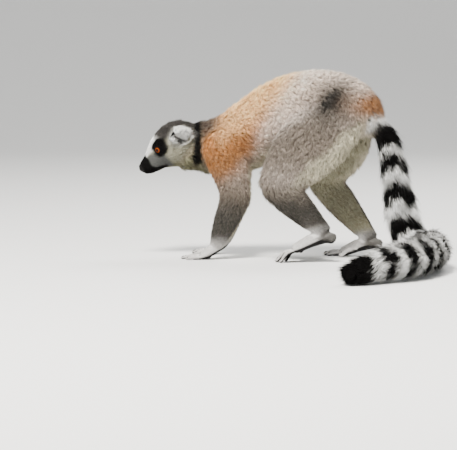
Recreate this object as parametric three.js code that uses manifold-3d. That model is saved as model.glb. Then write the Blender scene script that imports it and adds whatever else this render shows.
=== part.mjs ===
// A ring-tailed lemur at life size, standing on all fours with its back arched, its head low and turned
// a little to its left, and its tail hanging from the rump and lying in a curve on the floor.
// Millimetres, +Z up, facing -X, left side towards -Y, standing on z = 0.
// Every solid reaches out to the tips of the coat.

import * as THREE from "three";
import { mergeVertices } from "three/addons/utils/BufferGeometryUtils.js";
import Module from "manifold-3d";

const wasm = await Module();
wasm.setup();

const GAP = 0.4; // thin cut between two neighbouring parts
const FLOOR_DIP = 1.2; // how far a sole dips under the floor before it is cut flat
const LEFT = -1;
const RIGHT = 1;

// Body length and build.
const EYE_RADIUS = 7.4;
const HEAD_YAW = 18; // degrees, towards the animal's left
const HEAD_PITCH = 30; // degrees, nose down
const HEAD_AT = [-154, -22, 169];

// Joints of the skeleton that the pose is built on.
const SHOULDER = { [LEFT]: [-66, -34, 176], [RIGHT]: [-72, 34, 174] };
const ELBOW = { [LEFT]: [-41, -47, 99], [RIGHT]: [-68, 46, 96] };
const WRIST = { [LEFT]: [-75, -44, 20], [RIGHT]: [-84, 40, 20] };
const HIP = { [LEFT]: [116, -31, 224], [RIGHT]: [116, 31, 224] };
const KNEE = { [LEFT]: [20, -62, 121], [RIGHT]: [62, 84, 119] };
const ANKLE = { [LEFT]: [97, -50, 46], [RIGHT]: [146, 61, 28] };
const BALL_HEIGHT = { [LEFT]: 21, [RIGHT]: 6.6 }; // the left foot is up on its toes

const point = (p) => new THREE.Vector3(...p);
const mix = (a, b, share) => point(a).lerp(point(b), share);

// ---------------------------------------------------------------- shapes

// A smooth line through the stations' values, where station i is at i / (count - 1).
function through(values) {
  return new THREE.CatmullRomCurve3(values, false, "catmullrom", 0.5);
}

// A body of elliptical sections along a curve. Each station is [x, y, z, height, width]: the section's centre
// and half its size in the plane of the curve and across it. `across` is the direction of the width.
// The ends are domes, `dome` times as long as their section is high.
function loft(stations, options = {}) {
  const { across = [0, 1, 0], sides = 12, steps = 6, dome = 0.8, domeRows = 3, grow = 0 } = options;
  const centres = through(stations.map((s) => point(s.slice(0, 3))));
  const sizes = through(stations.map((s) => new THREE.Vector3(s[3], s[4], 0)));
  const rows = steps + 2 * domeRows;
  const geometry = new THREE.SphereGeometry(1, sides, rows);
  const place = geometry.getAttribute("position");
  const hint = point(across);
  for (let row = 0; row <= rows; row++) {
    const fromStart = Math.min(row / domeRows, 1);
    const fromEnd = Math.min((rows - row) / domeRows, 1);
    const t = Math.min(Math.max((row - domeRows) / steps, 0), 1);
    const tangent = centres.getTangent(t).normalize();
    const side = hint.clone().addScaledVector(tangent, -hint.dot(tangent)).normalize();
    const rise = new THREE.Vector3().crossVectors(side, tangent);
    const size = sizes.getPoint(t);
    const turn = (Math.min(fromStart, fromEnd) * Math.PI) / 2;
    const reach = (size.x * dome + grow) * Math.cos(turn) * (fromStart < 1 ? -1 : 1);
    const centre = centres.getPoint(t).addScaledVector(tangent, reach);
    for (let column = 0; column <= sides; column++) {
      const angle = ((column % sides) / sides) * 2 * Math.PI;
      const p = centre
        .clone()
        .addScaledVector(rise, (size.x + grow) * Math.cos(angle) * Math.sin(turn))
        .addScaledVector(side, (size.y + grow) * Math.sin(angle) * Math.sin(turn));
      place.setXYZ(row * (sides + 1) + column, p.x, p.y, p.z);
    }
  }
  return solid(geometry);
}

// A three.js geometry as a solid with its faces pointing out.
function solid(geometry) {
  geometry.deleteAttribute("normal");
  geometry.deleteAttribute("uv");
  const merged = mergeVertices(geometry, 1e-4);
  const triVerts = new Uint32Array(merged.index.array);
  const build = () =>
    new wasm.Manifold(new wasm.Mesh({ numProp: 3, vertProperties: merged.attributes.position.array, triVerts }));
  const made = build();
  if (made.volume() > 0) return made;
  for (let i = 0; i < triVerts.length; i += 3) {
    [triVerts[i + 1], triVerts[i + 2]] = [triVerts[i + 2], triVerts[i + 1]];
  }
  return build();
}

const joined = (solids) => solids.reduce((all, next) => all.add(next));

// The largest of the separate bodies that a cut leaves.
function largest(cut) {
  return cut.decompose().reduce((best, next) => (next.volume() > best.volume() ? next : best));
}

const aboveFloor = (body) => body.trimByPlane([0, 0, 1], 0);

// Parts a body at a plane with a thin cut, and gives the piece ahead of the plane and the one behind it.
function parted(body, at, normal) {
  const n = point(normal).normalize();
  const offset = n.dot(point(at));
  const ahead = body.trimByPlane(n.toArray(), offset + GAP / 2);
  const behind = body.trimByPlane(n.clone().negate().toArray(), -offset + GAP / 2);
  return [largest(ahead), largest(behind)];
}

// Parts a limb into its lengths, from the body outwards.
function lengths(limb, cuts) {
  const pieces = [];
  let rest = limb;
  for (const { at, normal } of cuts) {
    const [beyond, upper] = parted(rest, at, normal);
    pieces.push(upper);
    rest = beyond;
  }
  return [...pieces, rest];
}

// The plane that halves a joint's bend.
function halving(before, at, after) {
  const inward = point(at).sub(point(before)).normalize();
  const outward = point(after).sub(point(at)).normalize();
  return { at, normal: inward.add(outward).toArray() };
}

// ---------------------------------------------------------------- trunk and neck

function trunkAndNeck() {
  return loft(
    [
      [-142, -17, 166, 33, 27],
      [-110, -8, 172, 41, 30],
      [-72, 0, 171, 50, 38],
      [-32, 0, 190, 55, 45],
      [15, 0, 222, 56, 47],
      [62, 0, 242, 51, 46],
      [106, 0, 243, 47, 47],
      [140, 0, 228, 40, 40],
      [158, 0, 208, 29, 28],
    ],
    { sides: 16, steps: 12, dome: 0.5, domeRows: 2 },
  );
}

// ---------------------------------------------------------------- head

// The head is drawn in its own frame: +X to the nose, +Y to the animal's left, +Z to the crown.
function headFrame() {
  const yaw = THREE.MathUtils.degToRad(180 + HEAD_YAW);
  const turn = new THREE.Euler(0, THREE.MathUtils.degToRad(HEAD_PITCH), yaw, "ZYX");
  const frame = new THREE.Matrix4().makeRotationFromEuler(turn);
  return frame.setPosition(point(HEAD_AT));
}

// Muzzle, brow, cranium and cheek ruff as one body: distance ahead, height of the section's middle,
// half its height and half its width.
const HEAD_SECTIONS = [
  [55, -4, 5.5, 5.5],
  [50, -5.5, 10.5, 8],
  [43, -6.2, 13.8, 9.8],
  [34, -5.2, 16.8, 12],
  [26, -3, 20.5, 16],
  [18, -1, 26, 22],
  [8, 0, 31.5, 27],
  [-5, 0.5, 36, 30.5],
  [-19, 1.5, 36, 31.5],
  [-33, 2.5, 31, 28.5],
  [-44, 2, 22, 22],
];

function headBody(grow = 0) {
  const stations = HEAD_SECTIONS.map(([ahead, middle, high, wide]) => [ahead, 0, middle, high, wide]);
  return loft(stations, { sides: 16, steps: 10, dome: 0.35, domeRows: 2, grow });
}

// An ear is a cup: one ellipsoid hollowed by another.
const EAR = { ahead: -22, out: 27.5, up: 10.5, long: 15.5, wide: 20.5, deep: 11, wall: 3.6 };

// The ear's outer form, leaning back and out from the side of the head.
function earForm(side, grow = 0) {
  const form = new THREE.SphereGeometry(1, 12, 8).scale(EAR.wide + grow, EAR.deep + grow, EAR.long + grow);
  return solid(form).transform(earLean(side).elements);
}

function earLean(side) {
  const lean = new THREE.Matrix4().makeRotationFromEuler(new THREE.Euler(side * -0.45, -0.63, side * 0.32));
  return lean.setPosition(EAR.ahead, side * EAR.out, EAR.up);
}

function ear(side) {
  const hollow = new THREE.SphereGeometry(1, 10, 7)
    .scale(EAR.wide - EAR.wall, EAR.deep - EAR.wall, EAR.long - EAR.wall)
    .translate(0, side * EAR.deep * 0.62, 0);
  return earForm(side).subtract(solid(hollow).transform(earLean(side).elements));
}

const EYE_AT = { ahead: 14.5, out: 16.6, up: 8.2 };

function eye(side, grow = 0) {
  const ball = new THREE.SphereGeometry(EYE_RADIUS + grow, 10, 7);
  return solid(ball.translate(EYE_AT.ahead, side * EYE_AT.out, EYE_AT.up));
}

// ---------------------------------------------------------------- limbs

// One finger or toe, arched between its root and its tip.
function digit(root, tip, thick) {
  const knuckle = mix(root, tip, 0.5).add(new THREE.Vector3(0, 0, thick * 0.45 + root[2] * 0.18)).toArray();
  return loft(
    [
      [...root, thick * 1.1, thick * 1.1],
      [...knuckle, thick, thick],
      [...tip, thick * 0.75, thick * 0.85],
    ],
    { across: [0.2, 1, 0], sides: 5, steps: 2, dome: 0.6, domeRows: 1 },
  );
}

// The digits of a hand or foot fan out from its ball. `spread` is [ahead, out, turn in degrees, length, thickness].
// From a raised ball they bend down to the floor and reach less far. `rise` is how fast the sole climbs behind the ball,
// and a toe that starts up there follows the slope of the sole.
function digits(ball, side, spread, rise = 0) {
  return spread.map(([ahead, out, turn, long, thick]) => {
    const angle = THREE.MathUtils.degToRad(turn);
    const height = ball[2] + Math.max(0, -ahead) * rise - thick * 0.7;
    const root = [ball[0] - ahead, ball[1] + side * out, Math.max(thick, height)];
    const slope = ahead < 0 && rise > 0 ? 1.1 * rise * long : Infinity;
    const lowest = thick * (ball[2] > 12 ? 0.5 : 0.75) - FLOOR_DIP;
    const tipHeight = Math.max(lowest, root[2] - slope);
    const reach = Math.sqrt(long ** 2 - Math.min(slope, root[2] - thick) ** 2);
    const tip = [root[0] - reach * Math.cos(angle), root[1] + side * reach * Math.sin(angle), tipHeight];
    return digit(root, tip, thick);
  });
}

const FINGERS = [
  [-8, -12, -48, 14, 3.6],
  [1, -8.5, -14, 24, 3.6],
  [3, -2.8, -4, 28, 3.8],
  [3, 3.2, 6, 29, 3.8],
  [1, 9, 20, 22, 3.5],
];
const TOES = [
  [-22, -12, -34, 27, 5.2],
  [1, -8, -8, 22, 3.9],
  [3, -2.4, -1, 27, 4.1],
  [3, 3.4, 5, 29, 4.2],
  [0, 9.2, 14, 25, 4.0],
];

// The upper arm as it leaves the shoulder.
function armRoot(side, grow = 0) {
  const [shoulder, elbow] = [SHOULDER[side], ELBOW[side]];
  const stations = [
    [...shoulder, 37, 19],
    [...mix(shoulder, elbow, 0.35).toArray(), 34.5, 20],
    [...mix(shoulder, elbow, 0.7).toArray(), 29.5, 19],
    [...elbow, 26, 17.5],
  ];
  return loft(stations, { steps: 6, grow });
}

function arm(side) {
  const [shoulder, elbow, wrist] = [SHOULDER[side], ELBOW[side], WRIST[side]];
  const ball = [wrist[0] - 20, wrist[1] + side * 2, 5.4];
  const lower = loft(
    [
      [...elbow, 25.5, 17.5],
      [...mix(elbow, wrist, 0.3).toArray(), 23.5, 16.5],
      [...mix(elbow, wrist, 0.65).toArray(), 18.5, 14],
      [...wrist, 10, 10.5],
    ],
    { sides: 12, steps: 5, domeRows: 1 },
  );
  const palm = loft(
    [
      [...wrist, 9.5, 10.5],
      [wrist[0] - 10, wrist[1] + side, 11, 8.5, 12],
      [...ball, 6.6, 12.5],
    ],
    { sides: 10, steps: 3, dome: 0.6, domeRows: 2 },
  );
  const whole = joined([armRoot(side), lower, palm, ...digits(ball, side, FINGERS)]);
  const [upperArm, forearm, hand] = lengths(whole, [
    halving(shoulder, elbow, wrist),
    halving(elbow, mix(elbow, wrist, 0.93).toArray(), ball),
  ]);
  return { upperArm, forearm, hand: largest(aboveFloor(hand)) };
}

// The thigh as it leaves the hip.
function legRoot(side, grow = 0) {
  const [hip, knee] = [HIP[side], KNEE[side]];
  const stations = [
    [hip[0] + 2, hip[1], hip[2] - 4, 46, 22],
    [...mix(hip, knee, 0.3).toArray(), 55, 30],
    [...mix(hip, knee, 0.58).toArray(), 52, 30],
    [...mix(hip, knee, 0.82).toArray(), 40, 27],
    [...knee, 28, 23],
  ];
  return loft(stations, { sides: 14, steps: 7, domeRows: 2, grow });
}

function leg(side) {
  const [hip, knee, ankle] = [HIP[side], KNEE[side], ANKLE[side]];
  const ball = [ankle[0] - 44, ankle[1] + side * 5, BALL_HEIGHT[side]];
  const heel = [ankle[0] + 13, ankle[1], ankle[2] - 9];
  const shank = loft(
    [
      [...knee, 27, 23],
      [...mix(knee, ankle, 0.28).toArray(), 27.5, 21],
      [...mix(knee, ankle, 0.6).toArray(), 22.5, 17],
      [...mix(knee, ankle, 0.84).toArray(), 15.5, 13.5],
      [...ankle, 13, 12.5],
    ],
    { sides: 12, steps: 6, domeRows: 1 },
  );
  const sole = loft(
    [
      [...heel, 9.5, 10.5],
      [ankle[0] + 1, ankle[1], ankle[2] - 6, 11.5, 11.5],
      [...mix(ankle, ball, 0.5).add(new THREE.Vector3(0, 0, -1)).toArray(), 10.5, 12.5],
      [...ball, 8, 13.5],
    ],
    { sides: 10, steps: 3, dome: 0.6, domeRows: 2 },
  );
  const rise = (ankle[2] - 6 - ball[2]) / (ankle[0] - ball[0]);
  const whole = joined([legRoot(side), shank, sole, ...digits(ball, side, TOES, rise)]);
  const [upperLeg, lowerLeg, foot] = lengths(whole, [
    halving(hip, knee, ankle),
    { at: mix(knee, ankle, 0.87).toArray(), normal: [0.2, 0, -1] },
  ]);
  return { upperLeg, lowerLeg, foot: largest(aboveFloor(foot)) };
}

// ---------------------------------------------------------------- tail

// Centre line and half thickness of the furred tail, from inside the rump to the last ring.
const TAIL = [
  [150, 0, 224, 18],
  [168, 0, 206, 22],
  [181, -1, 186, 23.5],
  [190, -2, 156, 25],
  [199, -3, 113, 27.5],
  [206, -5, 76, 29.5],
  [215, -10, 48, 30],
  [232, -22, 30, 30],
  [252, -49, 28.5, 29.5],
  [267, -86, 29, 30],
  [275, -130, 29.5, 30.5],
  [276, -176, 30, 31],
  [269, -221, 30, 31],
  [254, -263, 29, 30],
  [232, -300, 26, 27.5],
  [205, -331, 18, 20],
];
const TAIL_CUTS = [0.27, 0.41, 0.55, 0.69, 0.84];

function wholeTail(grow = 0) {
  const stations = TAIL.map(([x, y, z, thick]) => [x, y, z, thick, thick]);
  return loft(stations, { across: [1, 0, 0.4], sides: 12, steps: 24, dome: 0.9, domeRows: 2, grow });
}

function tail() {
  const line = through(TAIL.map((s) => point(s.slice(0, 3))));
  const pieces = [];
  let rest = largest(aboveFloor(wholeTail()));
  for (const t of TAIL_CUTS) {
    const [beyond, before] = parted(rest, line.getPoint(t).toArray(), line.getTangent(t).toArray());
    pieces.push(before);
    rest = beyond;
  }
  return [...pieces, rest];
}

// ---------------------------------------------------------------- whole animal

const COAT = { roughness: 0.95, metalness: 0 };
const FINISH = {
  tan_coat: new THREE.MeshStandardMaterial({ color: "#b08d6c", ...COAT }),
  grey_coat: new THREE.MeshStandardMaterial({ color: "#7d7570", ...COAT }),
  white_coat: new THREE.MeshStandardMaterial({ color: "#cfccc4", ...COAT }),
  ringed_coat: new THREE.MeshStandardMaterial({ color: "#6b6663", ...COAT }),
  eye: new THREE.MeshStandardMaterial({ color: "#a8480c", roughness: 0.08, metalness: 0 }),
};

const lemur = new THREE.Group();

function place(name, body, finish) {
  const mesh = body.getMesh();
  const geometry = new THREE.BufferGeometry()
    .setAttribute("position", new THREE.BufferAttribute(mesh.vertProperties, 3))
    .setIndex(new THREE.BufferAttribute(mesh.triVerts, 1));
  geometry.computeVertexNormals();
  const made = new THREE.Mesh(geometry, FINISH[finish]);
  made.name = name;
  lemur.add(made);
}

// A body with room cut out of it for its neighbours.
const clearOf = (body, rooms) => largest(rooms.reduce((left, room) => left.subtract(room), body));

const tailPieces = tail();
const tailRoom = wholeTail(GAP);
const limbs = { [LEFT]: { ...arm(LEFT), ...leg(LEFT) }, [RIGHT]: { ...arm(RIGHT), ...leg(RIGHT) } };
for (const limb of Object.values(limbs)) limb.upperLeg = clearOf(limb.upperLeg, [tailRoom]);

const frame = headFrame().elements;
const inPlace = (body) => body.transform(frame);
const ears = { [LEFT]: inPlace(ear(1)), [RIGHT]: inPlace(ear(-1)) };
const eyes = { [LEFT]: inPlace(eye(1)), [RIGHT]: inPlace(eye(-1)) };
const earRooms = [earForm(1, GAP), earForm(-1, GAP)].map(inPlace);
const eyeRooms = [eye(1, GAP), eye(-1, GAP)].map(inPlace);
const limbRooms = [armRoot, legRoot].flatMap((root) => [root(LEFT, GAP), root(RIGHT, GAP)]);

const torso = clearOf(trunkAndNeck(), [...limbRooms, tailRoom]);
const [trunk, collar] = parted(torso, [-86, -3, 171], [1, 0.12, 0.15]);
const head = clearOf(inPlace(headBody()), [...earRooms, ...eyeRooms]);
const neck = clearOf(collar, [inPlace(headBody(GAP)), ...earRooms]);

place("trunk", trunk, "tan_coat");
place("neck", neck, "grey_coat");
place("head", head, "white_coat");
for (const [side, word] of [
  [LEFT, "left"],
  [RIGHT, "right"],
]) {
  place(`ear_${word}`, ears[side], "white_coat");
  place(`eye_${word}`, eyes[side], "eye");
  place(`upper_arm_${word}`, limbs[side].upperArm, "tan_coat");
  place(`forearm_${word}`, limbs[side].forearm, "grey_coat");
  place(`hand_${word}`, limbs[side].hand, "white_coat");
  place(`thigh_${word}`, limbs[side].upperLeg, "grey_coat");
  place(`shank_${word}`, limbs[side].lowerLeg, "grey_coat");
  place(`foot_${word}`, limbs[side].foot, "white_coat");
}
tailPieces.forEach((piece, i) => place(`tail_${i + 1}`, piece, "ringed_coat"));

// The frame's origin is on the floor, under the middle of the animal.
const box = new THREE.Box3().setFromObject(lemur);
const middle = box.getCenter(new THREE.Vector3());
lemur.position.set(-middle.x, -middle.y, 0);

export default lemur;
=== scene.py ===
"""Ring-tailed lemur at life size: one skin over the flesh, a coat of solid tufts, eyes and nails."""

import math

import bmesh
import bpy
import numpy as np
from mathutils import Euler, Matrix, Vector
from mathutils.bvhtree import BVHTree


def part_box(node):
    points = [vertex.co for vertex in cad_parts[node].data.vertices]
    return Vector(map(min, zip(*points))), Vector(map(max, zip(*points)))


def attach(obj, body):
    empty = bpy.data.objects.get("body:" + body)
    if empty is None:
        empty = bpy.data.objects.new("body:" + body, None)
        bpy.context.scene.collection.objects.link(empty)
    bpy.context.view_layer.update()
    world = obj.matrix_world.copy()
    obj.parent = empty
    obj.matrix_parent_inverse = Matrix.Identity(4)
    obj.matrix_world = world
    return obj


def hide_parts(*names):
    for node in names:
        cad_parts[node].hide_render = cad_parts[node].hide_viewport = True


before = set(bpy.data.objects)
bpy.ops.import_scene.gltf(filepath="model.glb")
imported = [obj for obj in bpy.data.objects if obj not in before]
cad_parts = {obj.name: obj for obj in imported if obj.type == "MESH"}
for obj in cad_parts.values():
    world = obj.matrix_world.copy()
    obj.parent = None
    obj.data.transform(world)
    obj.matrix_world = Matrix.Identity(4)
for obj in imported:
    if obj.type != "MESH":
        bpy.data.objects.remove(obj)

bl_info = {
    "name": "Ring-tailed lemur",
    "version": (1, 0, 0),
    "blender": (4, 5, 0),
    "location": "3D View > Sidebar > Lemur",
    "description": "Builds a life-size ring-tailed lemur with a coat of solid tufts",
    "category": "Object",
}

MM = 0.001
SQUARE_CM = 100  # in square millimetres

# ---------------------------------------------------------------- skeleton, in body millimetres

SIDES = {"left": -1, "right": 1}
EYE_CENTRE = np.array([-164.712, -42.935, 168.851])  # the left eye ties the body to the frame
HEAD_AT = (-154, -22, 169)
HEAD_YAW = math.radians(198)
HEAD_PITCH = math.radians(30)
EYE_AT = (14.5, 16.6, 8.2)  # ahead, out and up of the middle of the head
EYE_RADIUS = 7.4
GAZE = math.radians(48)  # how far outward the eyes look
LID_REACH = 12.5  # how far from an eye's centre the skin is cut finer
NOSE_START = 50  # where, ahead of the middle of the head, the fine skin of the nose starts
EAR_AT = (-22, 27.5, 10.5)
EAR_SIZE = (20.5, 11, 15.5)
EAR_LEAN = (-0.45, -0.63, 0.32)
EAR_SHRINK = 0.1
# The ears' folds, canal and nook are sunk in and painted near black as their shade.
EAR_FOLD = [(-11, 25), (-14, 15), (-18, 8), (-26, -3)]  # ahead and up
EAR_CANAL = (-16.5, 1)
EAR_NOOK = (-12.5, 19)  # the hollow under the front of the rim

SPINE = [(-142, -17, 166), (-110, -8, 172), (-72, 0, 171), (-32, 0, 190), (15, 0, 222)]
SPINE += [(62, 0, 242), (106, 0, 243), (140, 0, 228), (158, 0, 208)]
TAIL = [(150, 0, 224), (168, 0, 206), (181, -1, 186), (190, -2, 156), (199, -3, 113), (206, -5, 76)]
TAIL += [(215, -10, 48), (232, -22, 30), (252, -49, 28.5), (267, -86, 29), (275, -130, 29.5)]
TAIL += [(276, -176, 30), (269, -221, 30), (254, -263, 29), (232, -300, 26), (205, -331, 18)]
ARMS = {
    "left": [(-66, -34, 176), (-41, -47, 99), (-75, -44, 20), (-95, -46, 5)],
    "right": [(-72, 34, 174), (-68, 46, 96), (-84, 40, 20), (-104, 42, 5)],
}
LEGS = {
    "left": [(116, -31, 224), (20, -62, 121), (97, -50, 46), (53, -55, 21)],
    "right": [(116, 31, 224), (62, 84, 119), (146, 61, 28), (102, 66, 7)],
}

# Digits: distance behind the ball of the foot, out from it, turn outward in degrees, length and thickness.
FINGERS = [(-8, -12, -48, 14, 3.6), (1, -8.5, -14, 24, 3.6), (3, -2.8, -4, 28, 3.8)]
FINGERS += [(3, 3.2, 6, 29, 3.8), (1, 9, 20, 22, 3.5)]
TOES = [(-22, -12, -34, 27, 5.2), (1, -8, -8, 22, 3.9), (3, -2.4, -1, 27, 4.1)]
TOES += [(3, 3.4, 5, 29, 4.2), (0, 9.2, 14, 25, 4.0)]

# Ends of the tail's rings, as lengths along it from the rump. The first ring is white and they alternate.
RINGS = [12, 50, 65, 89, 108, 139, 162, 196, 213, 249, 267, 300]
RINGS += [322, 348, 372, 392, 414, 433, 455, 473, 494, 512, 531]
RING_OVERHANG = 13  # how far a ring's hair reaches past its roots
RIDGE = ([-140, -70, -30, 20, 60, 110, 150], [166, 171, 190, 224, 240, 240, 215])  # X and height of the back
COLLAR = ([-36, -31, -8, 17, 30], [-27, -31, -41, -51, -54])  # up and ahead along the collar, from the head
BLACK_LEAD = 3  # how much sooner a black ring starts, as white hair hides some of it
MOUTH = ([18, 28, 40, 50, 55], [-19.5, -18.0, -14.6, -11.6, -9.6])  # ahead and up along the lips

# Coat of each part: depth from skin to tips, length of a tuft and its width in millimetres, tufts to a
# square centimetre, how far a tuft leans out of the skin in degrees, and how far locks stray, in radians.
COAT = {
    "trunk": (6.8, 11.0, 1.0, 84, 50, 1.0),
    "neck": (6.0, 10.2, 0.9, 96, 48, 0.9),
    "head": (3.0, 6.0, 0.65, 185, 34, 0.5),
    "ear": (1.1, 5.0, 0.55, 120, 26, 0.5),
    "upper_arm": (5.4, 9.4, 0.9, 94, 46, 0.9),
    "forearm": (3.4, 7.4, 0.8, 108, 36, 0.7),
    "hand": (0.7, 2.2, 0.45, 120, 15, 0.3),
    "thigh": (6.5, 10.8, 1.0, 84, 50, 1.0),
    "shank": (4.0, 8.0, 0.85, 98, 38, 0.7),
    "foot": (0.8, 2.5, 0.5, 110, 15, 0.3),
    "tail": (16.5, 26.0, 1.4, 126, 43, 0.35),
}
FACE_DEPTH = ([-45, -20, 0, 10, 20, 30, 42, 50], [5.8, 4.6, 3.6, 2.6, 1.8, 1.1, 0.5, 0.2])  # ahead and depth
TAIL_CORE = 7.5  # the least radius of the tail's skin
EVEN_ROUNDS, EVEN_ROUNDS_SMALL = 44, 15  # of evening out the skin, and of its ears, hands and feet
EVEN_STEPS = (0.55, -0.565)  # in and back out, so that the skin doesn't shrink
MOST_TUFTS = 33200  # in one piece, at six triangles each
GUARD_SHARE = 0.16  # of tufts that are thin and stand out
GUARD_LENGTH, GUARD_WIDTH = 1.22, 0.6  # of such a tuft, over a plain one's
BEND_AT = 0.45  # where a tuft bends, over its length
LEAST_PULL, MORE_PULL = 0.30, 0.26  # how far tufts lean to the middle of their lock
PATCH = 0.003  # the size of one tuft's unwrap on the sheet

ARM_PARTS = ("upper_arm", "forearm", "hand")
LEG_PARTS = ("thigh", "shank", "foot")
REGIONS = ["trunk", "neck", "head", "ear_left", "ear_right"]
REGIONS += [f"{part}_{side}" for part in ARM_PARTS + LEG_PARTS for side in SIDES] + ["tail"]

# Where each region's unwrap lies on the sheet: left, bottom, right, top.
SHEET = {
    "trunk": (0.0, 0.0, 0.48, 0.30),
    "thigh_left": (0.48, 0.0, 0.74, 0.30),
    "thigh_right": (0.74, 0.0, 1.0, 0.30),
    "tail": (0.0, 0.30, 1.0, 0.50),
    "head": (0.0, 0.50, 0.34, 0.75),
    "neck": (0.34, 0.50, 0.52, 0.75),
    "upper_arm_left": (0.52, 0.50, 0.76, 0.75),
    "upper_arm_right": (0.76, 0.50, 1.0, 0.75),
}
for index, name in enumerate(n for n in REGIONS if n not in SHEET):
    SHEET[name] = (index / 10, 0.75, (index + 1) / 10, 1.0)


def shift():
    """The move from body millimetres to the frame, in millimetres."""
    low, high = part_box("eye_left")
    return (np.array(low) + np.array(high)) / 2 / MM - EYE_CENTRE


def to_frame(points):
    return (np.asarray(points, float) + shift()) * MM


def to_body(points):
    return np.asarray(points, float) / MM - shift()


def head_axes():
    """Rows: ahead, left and up of the head, in the body's axes."""
    turn = Matrix.Rotation(HEAD_YAW, 3, "Z") @ Matrix.Rotation(HEAD_PITCH, 3, "Y")
    return np.array(turn.transposed())


def to_head(body_points):
    return (np.asarray(body_points, float) - HEAD_AT) @ head_axes().T


def from_head(head_points):
    return np.asarray(head_points, float) @ head_axes() + HEAD_AT


# ---------------------------------------------------------------- numbers


def unit(vectors):
    return vectors / np.maximum(np.linalg.norm(vectors, axis=-1, keepdims=True), 1e-9)


def smooth(low, high, value):
    t = np.clip((value - low) / (high - low), 0, 1)
    return t * t * (3 - 2 * t)


def linear(colour):
    """Linear light from a colour picker's red, green and blue."""
    c = np.asarray(colour, float)
    return np.where(c <= 0.04045, c / 12.92, ((c + 0.055) / 1.055) ** 2.4)


def scatter(cells, seed):
    """Three even random numbers from 0 to 1 for each integer cell."""
    c = cells.astype(np.int64)
    key = c[..., 0] * 73856093 ^ c[..., 1] * 19349663 ^ c[..., 2] * 83492791 ^ np.int64(seed * 2654435)
    out = []
    for turn in (0x27D4EB2F, 0x165667B1, 0x1B873593):
        h = (key ^ (key >> 15)) * turn & 0xFFFFFFFF
        h = (h ^ (h >> 13)) * 0x2C1B3C6D & 0xFFFFFFFF
        h ^= h >> 16
        out.append((h & 0xFFFFFF) / float(0x1000000))
    return np.stack(out, -1)


def cloud(points, size, seed):
    """Smooth noise from 0 to 1 with features of the given size."""
    base = np.floor(points / size)
    f = points / size - base
    f = f * f * (3 - 2 * f)
    total = 0
    for corner in np.ndindex(2, 2, 2):
        offset = np.array(corner)
        share = np.prod(np.where(offset, f, 1 - f), axis=-1)
        total = total + share * scatter(base + offset, seed)[..., 0]
    return total


def locks(points, size, seed):
    """The nearest centre of a lock for each point, and three random numbers of that lock."""
    base = np.floor(points / size)
    best = np.full(len(points), np.inf)
    centre = np.zeros_like(points)
    dice = np.zeros_like(points)
    for corner in np.ndindex(3, 3, 3):
        cell = base + np.array(corner) - 1
        random = scatter(cell, seed)
        spot = (cell + 0.15 + 0.7 * random) * size
        gap = ((spot - points) ** 2).sum(1)
        near = gap < best
        best[near] = gap[near]
        centre[near] = spot[near]
        dice[near] = scatter(cell, seed + 7)[near]
    return centre, dice


class Path:
    """A smooth line through points, which places other points by length along it and angle round it."""

    def __init__(self, points, hint=(0, 1, 0), count=120):
        p = np.array(points, float)
        ends = np.vstack([2 * p[0] - p[1], p, 2 * p[-1] - p[-2]])
        t = np.linspace(0, len(p) - 1, count)
        i = np.minimum(t.astype(int), len(p) - 2)
        f = (t - i)[:, None]
        a, b, c, d = (ends[i + k] for k in range(4))
        square, cube = 2 * a - 5 * b + 4 * c - d, 3 * b - a - 3 * c + d
        self.at = 0.5 * (2 * b + (c - a) * f + square * f**2 + cube * f**3)
        self.way = unit(np.gradient(self.at, axis=0))
        steps = np.linalg.norm(np.diff(self.at, axis=0), axis=1)
        self.reach = np.concatenate([[0], np.cumsum(steps)])
        h = np.array(hint, float)
        self.side = unit(h - self.way * (self.way @ h)[:, None])
        self.rise = np.cross(self.side, self.way)

    def locate(self, points):
        """Length along, angle round, and the place, direction and distance of the line's nearest spot."""
        middle = self.at.mean(0)
        line = self.at - middle
        parts = np.array_split(points - middle, max(len(points) // 8000, 1))
        near = np.concatenate([((line**2).sum(1) - 2 * part @ line.T).argmin(1) for part in parts])
        offset = points - self.at[near]
        ahead = np.clip((offset * self.way[near]).sum(1), -6, 6)
        spot = self.at[near] + self.way[near] * ahead[:, None]
        out = points - spot
        angle = np.arctan2((out * self.side[near]).sum(1), (out * self.rise[near]).sum(1))
        return self.reach[near] + ahead, angle, spot, self.way[near], np.linalg.norm(out, axis=1)


# ---------------------------------------------------------------- meshes


def corners_of(mesh):
    points = np.empty(len(mesh.vertices) * 3)
    mesh.vertices.foreach_get("co", points)
    return points.reshape(-1, 3)


def triangles_of(mesh):
    mesh.calc_loop_triangles()
    triangles = np.empty(len(mesh.loop_triangles) * 3, np.int32)
    mesh.loop_triangles.foreach_get("vertices", triangles)
    return triangles.reshape(-1, 3)


def mesh_from(name, points, triangles):
    """A smooth-shaded mesh of triangles."""
    mesh = bpy.data.meshes.new(name)
    mesh.vertices.add(len(points))
    mesh.vertices.foreach_set("co", np.asarray(points, np.float32).ravel())
    mesh.loops.add(len(triangles) * 3)
    mesh.loops.foreach_set("vertex_index", np.asarray(triangles, np.int32).ravel())
    mesh.polygons.add(len(triangles))
    mesh.polygons.foreach_set("loop_start", np.arange(0, len(triangles) * 3, 3, dtype=np.int32))
    mesh.polygons.foreach_set("use_smooth", np.ones(len(triangles), bool))
    mesh.update(calc_edges=True)
    return mesh


def add_piece(name, mesh, material, nodes=()):
    """Puts a finished piece in the scene, riding on the body."""
    piece = bpy.data.objects.new(name, mesh)
    bpy.context.scene.collection.objects.link(piece)
    piece.data.materials.append(material)
    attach(piece, "root")
    if nodes:
        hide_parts(*nodes)
    return piece


KINDS = {1: ("FLOAT", "value"), 3: ("FLOAT_VECTOR", "vector"), 4: ("FLOAT_COLOR", "color")}


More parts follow.
